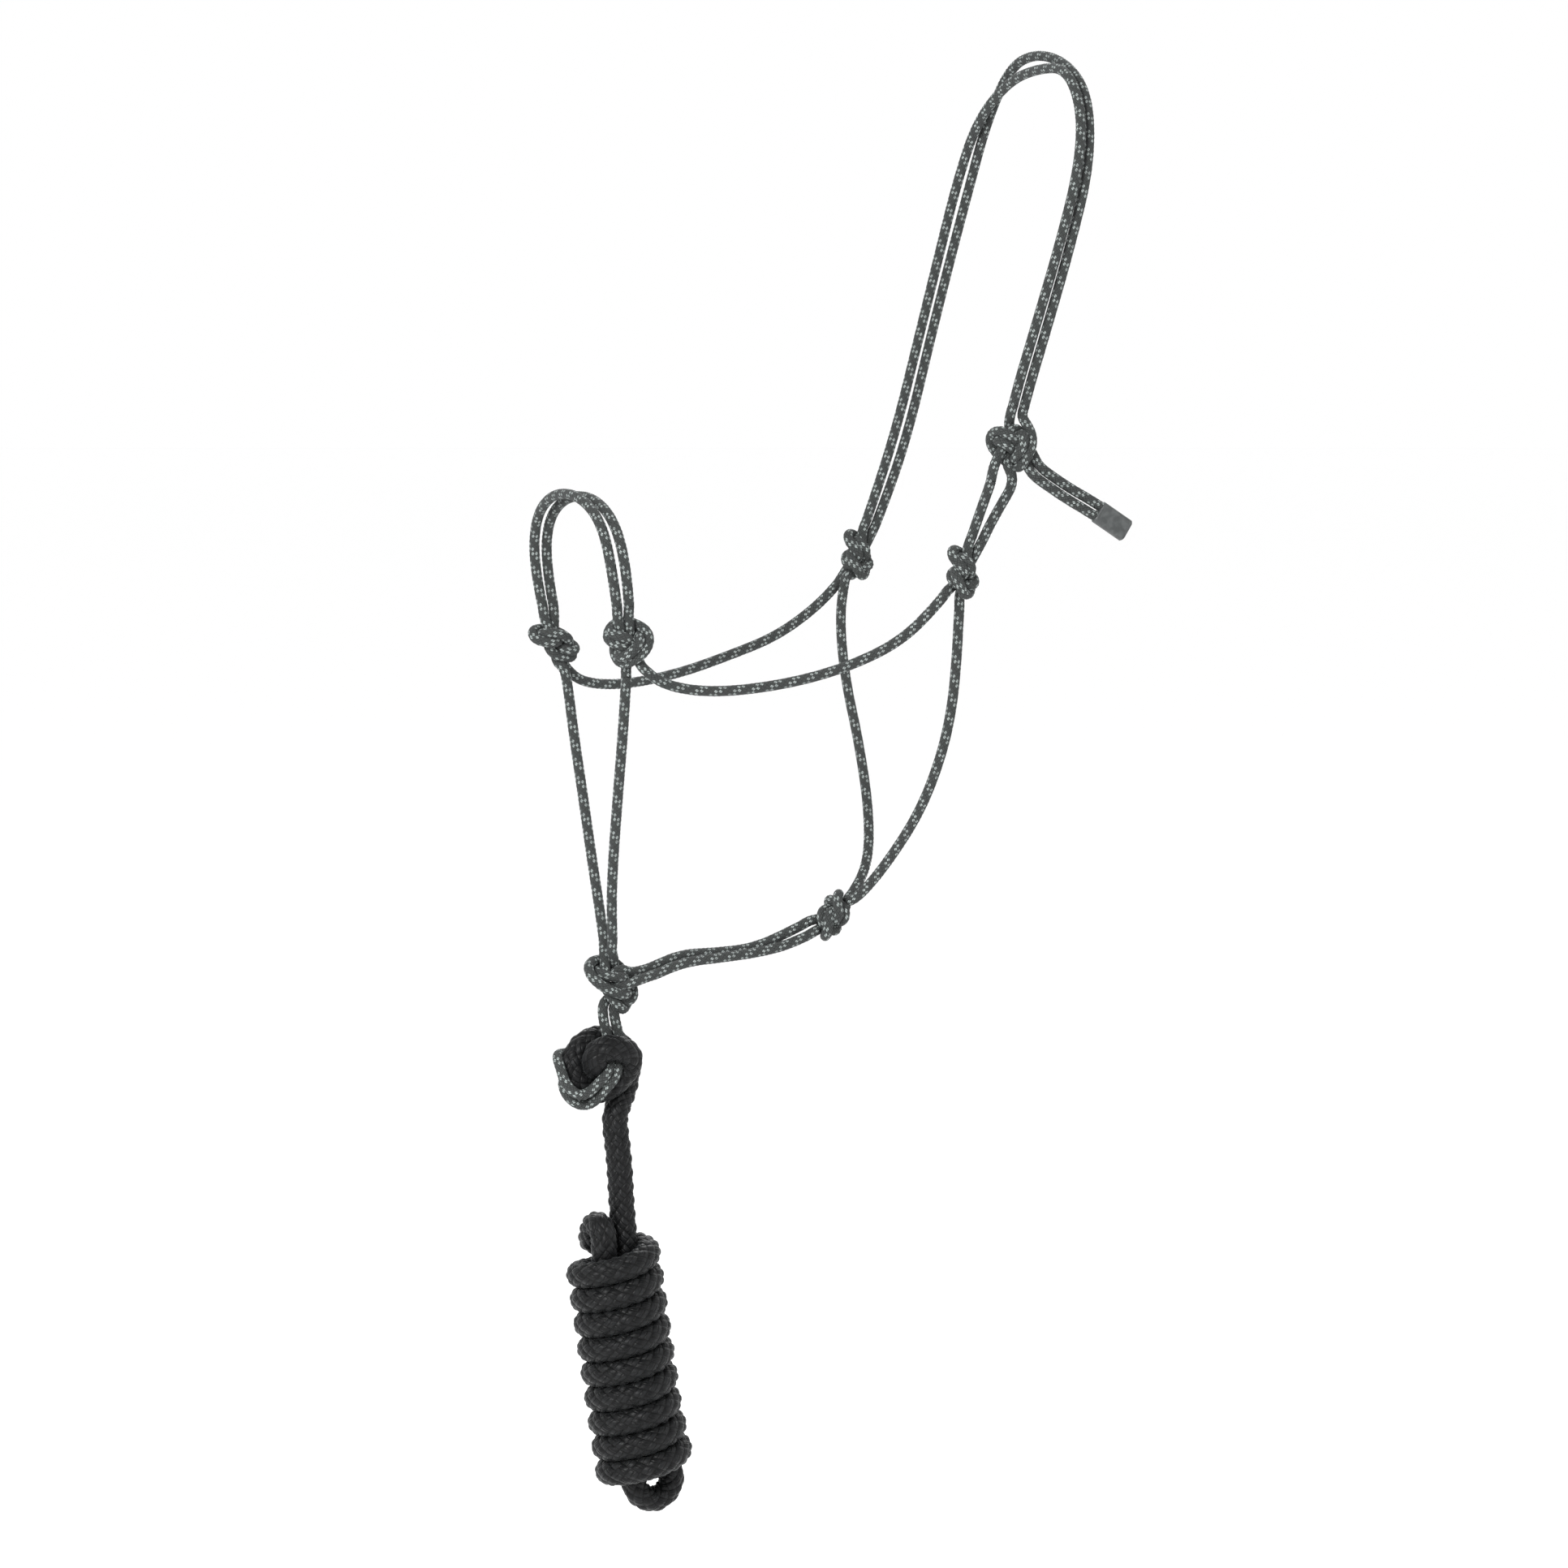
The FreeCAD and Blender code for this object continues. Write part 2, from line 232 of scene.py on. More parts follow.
def smoothed(line, passes):
    """The line with its kinks eased; its two ends stay."""
    line = line.copy()
    for _ in range(passes):
        line[1:-1] = line[1:-1] * 0.5 + (line[:-2] + line[2:]) * 0.25
    return line


def nurbs_line(name, points):
    """The smooth line that a NURBS spline with these control points makes."""
    curve = bpy.data.curves.new(name + "_line", "CURVE")
    curve.dimensions = "3D"
    spline = curve.splines.new("NURBS")
    spline.points.add(len(points) - 1)
    for place, point in zip(spline.points, points):
        place.co = (*point, 1)
    spline.order_u = SPLINE_ORDER
    spline.use_endpoint_u = True
    spline.resolution_u = SPLINE_STEPS
    holder = bpy.data.objects.new(name + "_line", curve)
    mesh = bpy.data.meshes.new_from_object(holder)
    line = np.array([vertex.co for vertex in mesh.vertices])
    bpy.data.objects.remove(holder)
    bpy.data.curves.remove(curve)
    bpy.data.meshes.remove(mesh)
    return line


def cut(line, start, end):
    """The stretch of a line between two distances along it."""
    along = distances(line)
    inside = (along > start) & (along < end)
    places = np.concatenate([[start], along[inside], [end]])
    return np.column_stack([np.interp(places, along, line[:, axis]) for axis in range(3)])


def outside(line, centre, reach):
    """How far along the line it leaves the ball round a knot's centre."""
    gone = np.linalg.norm(line - np.asarray(centre), axis=1) > reach
    return distances(line)[np.argmax(gone)]


# ---- braided cords ------------------------------------------------------------------------------
def tangents(line):
    """The line's direction at each of its points."""
    middle = line[2:] - line[:-2]
    ways = np.vstack([line[1] - line[0], middle, line[-1] - line[-2]])
    return ways / np.linalg.norm(ways, axis=1)[:, None]


def side_vectors(line, first=None):
    """A sideways vector for each point, carried along the line without turning about it."""
    ways = tangents(line)
    if first is None:
        first = np.cross(ways[0], ANY_SIDE)
    side = first - ways[0] * (first @ ways[0])
    sides = [unit(side)]
    for way in ways[1:]:
        side = sides[-1] - way * (sides[-1] @ way)
        sides.append(unit(side))
    return np.array(sides)


def turn_about(sides, ways, angles):
    """The sideways vectors, each turned about the line by its own angle."""
    across = np.cross(ways, sides)
    return sides * np.cos(angles)[:, None] + across * np.sin(angles)[:, None]


def braided_mesh(name, stretch, radius, braid):
    """A tube whose surface has the lumps of a braid."""
    line, sides, place = stretch.line, stretch.sides, stretch.place
    around = braid["around"]
    carriers = braid["carriers"]
    count = len(line)
    turns = np.arange(around + 1) / around
    pattern_a = carriers * (turns[None, :] + place[:, None] / braid["turn"])
    pattern_b = carriers * (turns[None, :] - place[:, None] / braid["turn"])
    lump = np.sqrt(np.abs(np.sin(np.pi * pattern_a) * np.sin(np.pi * pattern_b)))
    reach = radius + braid["lump"] * (lump[:, :around] - LUMP_MIDDLE)
    angle = 2 * np.pi * turns[:around]
    ways = tangents(line)
    across = np.cross(ways, sides)
    points = (line[:, None, :]
              + sides[:, None, :] * (reach * np.cos(angle))[:, :, None]
              + across[:, None, :] * (reach * np.sin(angle))[:, :, None])
    mesh = bpy.data.meshes.new(name)
    rows, columns = np.meshgrid(np.arange(count - 1), np.arange(around), indexing="ij")
    following = (columns + 1) % around
    quads = np.stack([rows * around + columns, rows * around + following,
                      (rows + 1) * around + following, (rows + 1) * around + columns], axis=-1).reshape(-1, 4)
    last = (count - 1) * around
    caps = [list(range(around))[::-1], list(range(last, last + around))]
    mesh.from_pydata(points.reshape(-1, 3).tolist(), [], quads.tolist() + caps)
    pattern = np.stack([pattern_a, pattern_b, np.broadcast_to(place[:, None], pattern_a.shape)], axis=-1)
    corners = np.stack([pattern[:-1, :-1], pattern[:-1, 1:], pattern[1:, 1:], pattern[1:, :-1]], axis=2)
    capped = [pattern[0, :around][::-1], pattern[-1, :around]]
    values = np.vstack([corners.reshape(-1, 3), *capped])
    attribute = mesh.attributes.new("braid", "FLOAT_VECTOR", "CORNER")
    attribute.data.foreach_set("vector", values.astype(np.float32).ravel())
    smooth = np.ones(len(mesh.polygons), bool)
    smooth[-len(caps):] = False
    mesh.polygons.foreach_set("use_smooth", smooth)
    piece = bpy.data.objects.new(name, mesh)
    bpy.context.scene.collection.objects.link(piece)
    return piece


class Stretch:
    """A length of cord: its line, sideways vectors and how far along the yarns' pattern each point is."""

    def __init__(self, line, sides, place):
        self.line = line
        self.sides = sides
        self.place = place


def ready_line(line, braid):
    """The line with a braid's own steps, eased."""
    count = max(FEWEST_POINTS, int(round(distances(line)[-1] / braid["step"])) + 1)
    return smoothed(respaced(line, count), LINE_EASING)


def free_stretch(line, braid):
    """A stretch that others join on to."""
    line = ready_line(line, braid)
    return Stretch(line, side_vectors(line), distances(line))


def joined_stretch(line, braid, before=None, after=None):
    """A stretch whose surface carries on from the one before it and runs into the one after it."""
    line = ready_line(line, braid)
    ways = tangents(line)
    sides = side_vectors(line, before.sides[-1] if before else None)
    along = distances(line)
    share = along / along[-1]
    place = along + (before.place[-1] if before else 0)
    if after:
        across = np.cross(ways[-1], sides[-1])
        wanted = math.atan2(after.sides[0] @ across, after.sides[0] @ sides[-1])
        twist = (wanted + math.pi / 2) % math.pi - math.pi / 2
        sides = turn_about(sides, ways, share * twist)
        period = braid["turn"] / 2
        miss = (after.place[0] - place[-1] + period / 2) % period - period / 2
        place = place + share * miss
    return Stretch(line, sides, place)


# ---- knots, drawn tight -------------------------------------------------------------------------
def near_pairs(points, radii, owner, number, gaps):
    """Pairs of points whose cords may touch, with how far apart they have to stay."""
    apart = np.linalg.norm(points[:, None, :] - points[None, :, :], axis=2)
    room = (radii[:, None] + radii[None, :]) * SQUEEZE
    along = np.abs(number[:, None] - number[None, :]) * gaps[:, None]
    same = owner[:, None] == owner[None, :]
    # a cord may come as near to itself as its tightest bend allows
    bend = TIGHTEST_BEND * room
    chord = 2 * bend * np.sin(np.clip(along / (2 * bend), 0, math.pi / 2))
    room = np.where(same, np.minimum(room, chord), room)
    close = (apart < room * NEAR) & (~same | (along > SAME_CORD_GAP * room / SQUEEZE))
    first, second = np.nonzero(np.triu(close, 1))
    return first, second, room[first, second]


def drawn_tight(lines, radii, rounds, pull, centre=None):
    """Cords shorten with their ends held, and push each other apart, until their knot is tight."""
    sizes = [len(line) for line in lines]
    starts = np.cumsum([0] + sizes)
    points = np.vstack(lines)
    thickness = np.concatenate([np.full(size, radius) for size, radius in zip(sizes, radii)])
    owner = np.concatenate([np.full(size, index) for index, size in enumerate(sizes)])
    number = np.concatenate([np.arange(size) for size in sizes])
    share = np.concatenate([np.linspace(0, 1, size) for size in sizes])
    freedom = np.clip(np.minimum(share, 1 - share) / HELD_SHARE, 0, 1)
    held = np.concatenate([(np.arange(size) < HELD_POINTS) | (np.arange(size) >= size - HELD_POINTS)
                           for size in sizes])
    for turn in range(rounds):
        if turn % SORTING_ROUNDS == 0:
            for index, size in enumerate(sizes):
                part = slice(starts[index] + HELD_POINTS - 1, starts[index] + size - HELD_POINTS + 1)
                points[part] = respaced(points[part], size - 2 * HELD_POINTS + 2)
            gaps = np.concatenate([
                np.full(size, distances(points[start:start + size])[-1] / (size - 1))
                for start, size in zip(starts, sizes)])
            first, second, room = near_pairs(points, thickness, owner, number, gaps)
            if centre is not None:
                middle = (points * freedom[:, None]).sum(axis=0) / freedom.sum()
                points += freedom[:, None] * (np.asarray(centre) - middle) * CENTRING
        eased = points.copy()
        for start, size in zip(starts, sizes):
            part = points[start:start + size]
            eased[start + 1:start + size - 1] += pull * (part[:-2] + part[2:] - 2 * part[1:-1])
        points = np.where(held[:, None], points, eased)
        for _ in range(PUSHES):
            between = points[first] - points[second]
            apart = np.maximum(np.linalg.norm(between, axis=1), 1e-6)
            push = np.clip(room - apart, 0, MOST_PUSH) * 0.5 * PUSH_SHARE
            move = between / apart[:, None] * push[:, None]
            shift = np.zeros_like(points)
            np.add.at(shift, first, move)
            np.add.at(shift, second, -move)
            length = np.linalg.norm(shift, axis=1)
            limit = np.minimum(1, MOST_PUSH / np.maximum(length, 1e-9))
            points = np.where(held[:, None], points, points + shift * limit[:, None])
    # the ends keep their exact way, so that they meet the next stretch without a step
    for start, size in zip(starts, sizes):
        part = slice(start + ENDS_KEPT, start + size - ENDS_KEPT)
        points[part] = smoothed(points[part], LAST_EASING)
    return [points[start:start + size] for start, size in zip(starts, sizes)]


def knot_axes(up, turn=0):
    """A knot's own right, up and front: it faces the camera, then is turned about up by some degrees."""
    up = unit(up)
    right = unit(np.cross(up, CAMERA_SIDE))
    front = np.cross(right, up)
    angle = math.radians(turn)
    turned = right * math.cos(angle) - front * math.sin(angle)
    return turned, up, np.cross(turned, up)


def loose_line(places, axes, centre, beside=0.0):
    """The line beside a loose knot's middle line, which is given as (right, up, front)."""
    middle = np.array(places) * LOOSE_SIZE
    middle = smoothed(respaced(middle, LOOSE_POINTS), LOOSE_EASING)
    way = np.gradient(middle, axis=0)
    aside = np.column_stack([way[:, 1], -way[:, 0], np.zeros(len(way))])
    aside = aside / np.linalg.norm(aside, axis=1)[:, None]
    return np.asarray(centre) + (middle + aside * beside) @ np.array(axes)


def loose_pair(places, axes, centre):
    """Two cords side by side along the same middle line."""
    return [loose_line(places, axes, centre, side * PAIR_PITCH / 2) for side in (1, -1)]


def through(before, knot, after):
    """One loose line from the end of a stretch, through the knot, to the start of the next stretch."""
    return evenly(np.vstack([before, knot, after]), LOOSE_GAP)


# an overhand knot's middle line as (right, up, front), in widths of the doubled cord
OVERHAND = [
    (0, 1.9, -0.2), (0, 1.0, -0.55), (0, 0.1, 0.45), (-0.3, -0.9, -0.1), (-1.0, -1.6, -0.6),
    (-2.1, -1.3, 0), (-2.5, 0, 0.1), (-1.8, 1.1, 0.6), (0, 1.2, 1.15), (1.5, 0.9, 0.5),
    (1.7, 0.2, -0.6), (0, -0.1, -1.2), (-1.1, -0.5, -0.4), (-1.1, -1.3, 0.6), (-0.5, -1.9, 0.5)]
# a sheet bend's middle line for the pair of cords that is tied, and the loop that it is tied to
SHEET_BEND = [
    (-0.2, 1.3, -0.6), (0.1, 0.7, 0.1), (0.75, 0.75, 0.9), (1.35, 0.25, 1.1),
    (1.45, -0.5, 0.7), (1.1, -1.2, -0.3), (0.4, -1.3, -0.8), (-0.6, -1.0, -0.8), (-1.3, -0.4, -0.4),
    (-1.45, 0.4, 0.2), (-0.9, 0.85, 0.7), (-0.2, 0.4, 0.6), (0.5, 0, 0.5), (1.4, -0.4, 0.3)]
TIE_LOOP = [
    (-0.52, -1.3, 0), (-0.55, -0.7, 0), (-0.6, 0.3, 0), (-0.35, 0.8, 0.1), (0, 0.95, 0.15),
    (0.35, 0.8, 0.1), (0.6, 0.3, 0), (0.62, -0.7, 0), (0.66, -1.3, 0)]
# the pair of jaw cords going into the middle of the chin knot
JAW_TUCK = [(1.3, 0.1, -0.2), (0.5, 0, -0.35), (-0.35, -0.05, -0.35)]


# ---- floor, lights and camera -------------------------------------------------------------------
def add_floor():
    bpy.ops.mesh.primitive_plane_add(size=FLOOR_SIZE, location=(0, 0, FLOOR_Z))
    floor = bpy.context.active_object
    floor.name = "floor"
    pale = bpy.data.materials.new("pale_floor")
    pale.use_nodes = True
    surface = pale.node_tree.nodes["Principled BSDF"]
    surface.inputs["Base Color"].default_value = WHITE
    surface.inputs["Roughness"].default_value = FLOOR_ROUGHNESS
    surface.inputs["Specular IOR Level"].default_value = FLOOR_SPECULAR
    floor.data.materials.append(pale)


def towards(target, place):
    """The turn that points a light or a camera at its target."""
    return (Vector(target) - Vector(place)).to_track_quat("-Z", "Y").to_euler()


def add_light(name, place, size, power):
    light = bpy.data.lights.new(name, "AREA")
    light.shape = "DISK"
    light.size = size
    light.energy = power
    lamp = bpy.data.objects.new(name, light)
    lamp.location = place
    lamp.rotation_euler = towards(CAMERA_TARGET, place)
    bpy.context.scene.collection.objects.link(lamp)


add_floor()
for name, (place, size, power) in LIGHTS.items():
    add_light(name, place, size, power)
world = bpy.context.scene.world or bpy.data.worlds.new("studio")
bpy.context.scene.world = world
world.use_nodes = True
backdrop = world.node_tree.nodes["Background"]
backdrop.inputs["Color"].default_value = WHITE
backdrop.inputs["Strength"].default_value = 1.0
bpy.context.scene.view_settings.view_transform = "Standard"

lens = bpy.data.cameras.new("camera")
lens.lens = CAMERA_LENS
lens.sensor_width = CAMERA_SENSOR
camera = bpy.data.objects.new("camera", lens)
camera.location = CAMERA_PLACE
camera.rotation_euler = towards(CAMERA_TARGET, CAMERA_PLACE)
bpy.context.scene.collection.objects.link(camera)
bpy.context.scene.camera = camera


# ---- materials ----------------------------------------------------------------------------------
# painted shade: a yarn's colour is darkened to this share where it goes under another
PAINTED_GAP_SHADE = 0.35                  # how bright a yarn is where it goes under another
# the same share also darkens the lead rope's painted highlight colour between its fibres
FIBRE_SHADE = 0.72                # how bright the tracer is between its fibres
BRAID_BUMP = 0.00035              # height of the yarns' own relief on the braid's lumps
SLEEVE_BUMP = 0.0003
SHEEN_ROUGHNESS = 0.5


def darker(colour, share):
    return tuple(channel * share for channel in colour[:3]) + (1,)


class Shader:
    """A material's nodes, with short calls for the usual ones."""

    def __init__(self, name):
        self.material = bpy.data.materials.new(name)
        self.material.use_nodes = True
        self.nodes = self.material.node_tree.nodes
        self.links = self.material.node_tree.links
        self.surface = self.nodes["Principled BSDF"]

    def feed(self, socket, value):
        if isinstance(value, bpy.types.NodeSocket):
            self.links.new(value, socket)
        elif value is not None:
            socket.default_value = value

    def math(self, operation, first, second=None, third=None):
        node = self.nodes.new("ShaderNodeMath")
        node.operation = operation
        for socket, value in zip(node.inputs, (first, second, third)):
            self.feed(socket, value)
        return node.outputs[0]

    def ramp(self, value, low, high, out_low=0.0, out_high=1.0):
        node = self.nodes.new("ShaderNodeMapRange")
        node.interpolation_type = "SMOOTHSTEP"
        for socket, number in zip(node.inputs, (value, low, high, out_low, out_high)):
            self.feed(socket, number)
        return node.outputs[0]

    def mix(self, factor, first, second):
        node = self.nodes.new("ShaderNodeMix")
        node.data_type = "RGBA"
        self.feed(node.inputs["Factor"], factor)
        self.feed(node.inputs["A"], first)
        self.feed(node.inputs["B"], second)
        return node.outputs["Result"]

    def vector(self, x, y, z):
        node = self.nodes.new("ShaderNodeCombineXYZ")
        for socket, value in zip(node.inputs, (x, y, z)):
            self.feed(socket, value)
        return node.outputs[0]

    def noise(self, place, scale, detail=3.0):
        node = self.nodes.new("ShaderNodeTexNoise")
        self.feed(node.inputs["Vector"], place)
        node.inputs["Scale"].default_value = scale
        node.inputs["Detail"].default_value = detail
        return node.outputs["Fac"]

    def bump(self, height, distance, strength=1.0, under=None):
        node = self.nodes.new("ShaderNodeBump")
        node.inputs["Distance"].default_value = distance
        node.inputs["Strength"].default_value = strength
        self.feed(node.inputs["Height"], height)
        self.feed(node.inputs["Normal"], under)
        return node.outputs[0]

    def finish(self, colour, normal, roughness, specular, sheen, sheen_tint):
        self.links.new(colour, self.surface.inputs["Base Color"])
        self.links.new(normal, self.surface.inputs["Normal"])
        self.feed(self.surface.inputs["Roughness"], roughness)
        self.surface.inputs["Specular IOR Level"].default_value = specular
        self.surface.inputs["Sheen Weight"].default_value = sheen
        self.surface.inputs["Sheen Roughness"].default_value = SHEEN_ROUGHNESS
        self.surface.inputs["Sheen Tint"].default_value = sheen_tint
        return self.material


def braid_material(name, yarn, worn, tracer_and_highlight, tracer_and_highlight_share, tracer_and_highlight_every, tracer_and_highlight_strength, specular, gloss):
    """Yarns over and under each other, two to a carrier, with some of them in the tracer's colour, and
    darkened where they go under each other, which is painted shade; on the lead rope every carrier takes that
    lighter colour on its lump tops, which is a painted highlight.
    """
    shader = Shader(name)
    attribute = shader.nodes.new("ShaderNodeAttribute")
    attribute.attribute_name = "braid"
    split = shader.nodes.new("ShaderNodeSeparateXYZ")
    shader.links.new(attribute.outputs["Vector"], split.inputs[0])
    pattern_a, pattern_b, place = split.outputs
    number_a = shader.math("FLOOR", pattern_a)
    number_b = shader.math("FLOOR", pattern_b)
    part_a = shader.math("SUBTRACT", pattern_a, number_a)
    part_b = shader.math("SUBTRACT", pattern_b, number_b)
    b_on_top = shader.math("FLOORED_MODULO", shader.math("ADD", number_a, number_b), 2.0)
    a_on_top = shader.math("SUBTRACT", 1.0, b_on_top)

    def chosen(if_a, if_b):
        return shader.math("ADD", shader.math("MULTIPLY", a_on_top, if_a),
                           shader.math("MULTIPLY", b_on_top, if_b))

    across = chosen(part_a, part_b)
    along = chosen(part_b, part_a)
    number = chosen(number_a, shader.math("ADD", number_b, 17.0))
    # two yarns lie side by side in each carrier
    yarn_part = shader.math("FRACT", shader.math("MULTIPLY", across, 2.0))
    from_middle = shader.math("ABSOLUTE", shader.math("MULTIPLY_ADD", yarn_part, 2.0, -1.0))
    rounded = shader.ramp(from_middle, 0.55, 1.0, 1.0, 0.0)
    from_centre = shader.math("ABSOLUTE", shader.math("MULTIPLY_ADD", along, 2.0, -1.0))
    showing = shader.ramp(from_centre, 0.62, 1.0, 1.0, 0.0)
    raised = shader.math("MULTIPLY", rounded, showing)
    # the fibres run along their yarn
    fibre_shift = shader.math("MULTIPLY_ADD", number, 3.7, shader.math("MULTIPLY", place, 60.0))
    fibre_place = shader.vector(shader.math("MULTIPLY", across, 9.0),
                                shader.math("MULTIPLY", along, 1.1), fibre_shift)
    fibres = shader.noise(fibre_place, 1.6)
    patches = shader.noise(shader.vector(shader.math("MULTIPLY", number, 2.3), along,
                                         shader.math("MULTIPLY", place, 220.0)), 1.0, 1.0)
    dark = shader.mix(shader.ramp(fibres, 0.35, 0.75), yarn, worn)
    # painted shade: the yarn's colour is darkened in the gaps where it goes under another
    yarn_with_painted_gap_shade = shader.mix(raised, darker(yarn, PAINTED_GAP_SHADE), dark)
    # the cord's tracer yarns; on the lead rope every carrier is chosen, and this lightens each lump top as a
    # painted highlight
    tracer_and_highlight_on = shader.math("LESS_THAN", shader.math("FLOORED_MODULO", number_a, tracer_and_highlight_every), tracer_and_highlight_share)
    tracer_and_highlight_mask = shader.math("MULTIPLY", shader.math("MULTIPLY", tracer_and_highlight_on, a_on_top), raised)
    tracer_and_highlight_mask = shader.math("MULTIPLY", tracer_and_highlight_mask, shader.ramp(patches, 0.25, 0.6, 0.55, 1.0))
    tracer_and_highlight_mask = shader.math("MULTIPLY", tracer_and_highlight_mask, tracer_and_highlight_strength)
    pale = shader.mix(shader.ramp(fibres, 0.3, 0.7), darker(tracer_and_highlight, FIBRE_SHADE), tracer_and_highlight)
    colour = shader.mix(tracer_and_highlight_mask, yarn_with_painted_gap_shade, pale)
    height = shader.math("ADD", shader.math("MULTIPLY", raised, 0.8), shader.math("MULTIPLY", fibres, 0.35))
    normal = shader.bump(height, BRAID_BUMP)
    roughness = shader.ramp(fibres, 0.3, 0.8, 0.80 - gloss, 0.95 - gloss)
    return shader.finish(colour, normal, roughness, specular, 0.05, (0.8, 0.84, 0.86, 1))


def smooth_sleeve_material():
    """Heat-shrunk plastic, a little wrinkled over the cords under it."""
    shader = Shader("tail_sleeve_plastic")
    place = shader.nodes.new("ShaderNodeTexCoord").outputs["Object"]
    wrinkles = shader.noise(place, 260.0, 2.0)
    colour = shader.mix(shader.ramp(wrinkles, 0.35, 0.7), (0.030, 0.033, 0.033, 1), (0.050, 0.054, 0.054, 1))
    normal = shader.bump(wrinkles, SLEEVE_BUMP, 0.6)
    return shader.finish(colour, normal, 0.42, 0.4, 0.0, WHITE)


sleeve_material = smooth_sleeve_material()
cord_material = braid_material(
    "halter_cord_braid", yarn=(0.028, 0.031, 0.030, 1), worn=(0.052, 0.056, 0.055, 1),
    tracer_and_highlight=(0.36, 0.40, 0.39, 1), tracer_and_highlight_share=2.0, tracer_and_highlight_every=4.0, tracer_and_highlight_strength=0.80,
    specular=0.22, gloss=0.15)
# on the lead rope the tracer colour, on every carrier, is a painted highlight on the lump tops
lead_material = braid_material(
    "lead_rope_braid", yarn=(0.0015, 0.0016, 0.0018, 1), worn=(0.0045, 0.0047, 0.0051, 1),
    tracer_and_highlight=(0.020, 0.021, 0.022, 1), tracer_and_highlight_share=1.0, tracer_and_highlight_every=1.0, tracer_and_highlight_strength=0.25,
    specular=0.13, gloss=0.42)


# ---- the halter's cord --------------------------------------------------------------------------
# each stretch: the knots at the start and end of its route, and whether the cord's own way is the reverse
STRETCHES = {
    "tail_upper": ("tie_knot", None, True),
    "crown_rear_strand": ("cheek_knot_off", "tie_knot", True),
    "throat_strand_off": ("cheek_knot_off", "throat_knot", False),
    "jaw_strand_upper": ("throat_knot", "chin_knot", False),
    "tail_lower": ("tie_knot", None, True),
    "crown_front_strand": ("cheek_knot_off", "tie_knot", True),
    "cheek_strand_off": ("cheek_knot_off", "nose_knot_off", False),
    "noseband_rear_strand": ("nose_knot_off", "nose_knot_near", False),
    "cheek_strand_near": ("cheek_knot_near", "nose_knot_near", True),
    "tie_loop_front": ("tie_knot", "cheek_knot_near", True),
    "tie_loop_rear": ("tie_knot", "cheek_knot_near", False),
    "throat_strand_near": ("cheek_knot_near", "throat_knot", False),
    "jaw_strand_lower": ("throat_knot", "chin_knot", False),
    "chin_strand_near": ("nose_knot_near", "chin_knot", True),
    "noseband_front_strand": ("nose_knot_off", "nose_knot_near", True),
    "chin_strand_off": ("nose_knot_off", "chin_knot", False),
}
BODY_OF = {node: body for body, nodes in frame["record"]["behaviour"]["bodies"].items() for node in nodes}

# each overhand knot: its turn about its own up in degrees, and the upper and lower stretch of its two cords
OVERHAND_KNOTS = {
    "cheek_knot_off": (-135, [("crown_rear_strand", "throat_strand_off"),
                              ("crown_front_strand", "cheek_strand_off")]),
    "cheek_knot_near": (-135, [("tie_loop_rear", "throat_strand_near"),
                               ("tie_loop_front", "cheek_strand_near")]),
    "nose_knot_off": (-135, [("noseband_rear_strand", "cheek_strand_off"),
                             ("noseband_front_strand", "chin_strand_off")]),
    "nose_knot_near": (-200, [("noseband_rear_strand", "cheek_strand_near"),
                              ("noseband_front_strand", "chin_strand_near")]),
    "throat_knot": (-135, [("throat_strand_near", "jaw_strand_lower"),
                           ("throat_strand_off", "jaw_strand_upper")]),
}
BLEND_FROM = 0.010                # above a knot's centre, where its cords begin to turn with the next body
BLEND_TO = 0.020

whole_lines = {}
spans = {}
stretches = {}
for name, (start_knot, end_knot, reverse) in STRETCHES.items():
    line = evenly(nurbs_line(name, ROUTES[name]), LINE_GAP)
    total = distances(line)[-1]
    start = outside(line, KNOT_PLACES[start_knot][0], JUNCTION[start_knot]) if start_knot else 0
    end = total - (outside(line[::-1], KNOT_PLACES[end_knot][0], JUNCTION[end_knot]) if end_knot else 0)
    if reverse:
        line = line[::-1]
        start, end = total - end, total - start
    whole_lines[name] = line
    spans[name] = (start, end)
    stretches[name] = free_stretch(cut(line, start, end), CORD_BRAID)


def travel(name):
    """The knots that the cord leaves and reaches along a stretch, in its own way."""
    start_knot, end_knot, reverse = STRETCHES[name]
    return (end_knot, start_knot) if reverse else (start_knot, end_knot)


def inner_end(name, knot, reach):
    """The stretch's line from where it meets a knot's own cord to a little way inside, in that order."""
    line = whole_lines[name]
    start, end = spans[name]
    if travel(name)[1] == knot:
        return cut(line, end, min(end + reach, distances(line)[-1]))
    return cut(line, max(0, start - reach), start)[::-1]


def knot_line(knot, loose, upper, lower):
    """A loose line from the upper stretch through the knot to the lower one."""
    return through(inner_end(upper, knot, LEAD_IN), loose, inner_end(lower, knot, LEAD_IN)[::-1])


def knot_stretch(knot, line, upper, lower):
    """The knot's cord between two stretches, in the cord's own way."""
    if travel(upper)[1] == knot:
        return joined_stretch(line, CORD_BRAID, stretches[upper], stretches.get(lower))
    return joined_stretch(line[::-1], CORD_BRAID, stretches.get(lower), stretches[upper])


def add_piece(name, stretch, body, *nodes, blend=None):
    """A length of the halter's cord that rides a body, or, given a blend, is left on no body."""
    piece = braided_mesh(name, stretch, CORD_R, CORD_BRAID)
    piece.data.materials.append(cord_material)
    return fitted(piece, body, nodes, blend)


def fitted(piece, body, nodes, blend):
    """The piece, in place of its CAD nodes and on its body, or, given a blend, left on no body with its place
    baked in.
    """
    if nodes:
        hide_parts(*nodes)
    if blend:
        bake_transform(piece)
    else:
        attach(piece, body)
    return piece


for name, stretch in stretches.items():
    piece = add_piece(name + "_cord", stretch, BODY_OF[name], name)


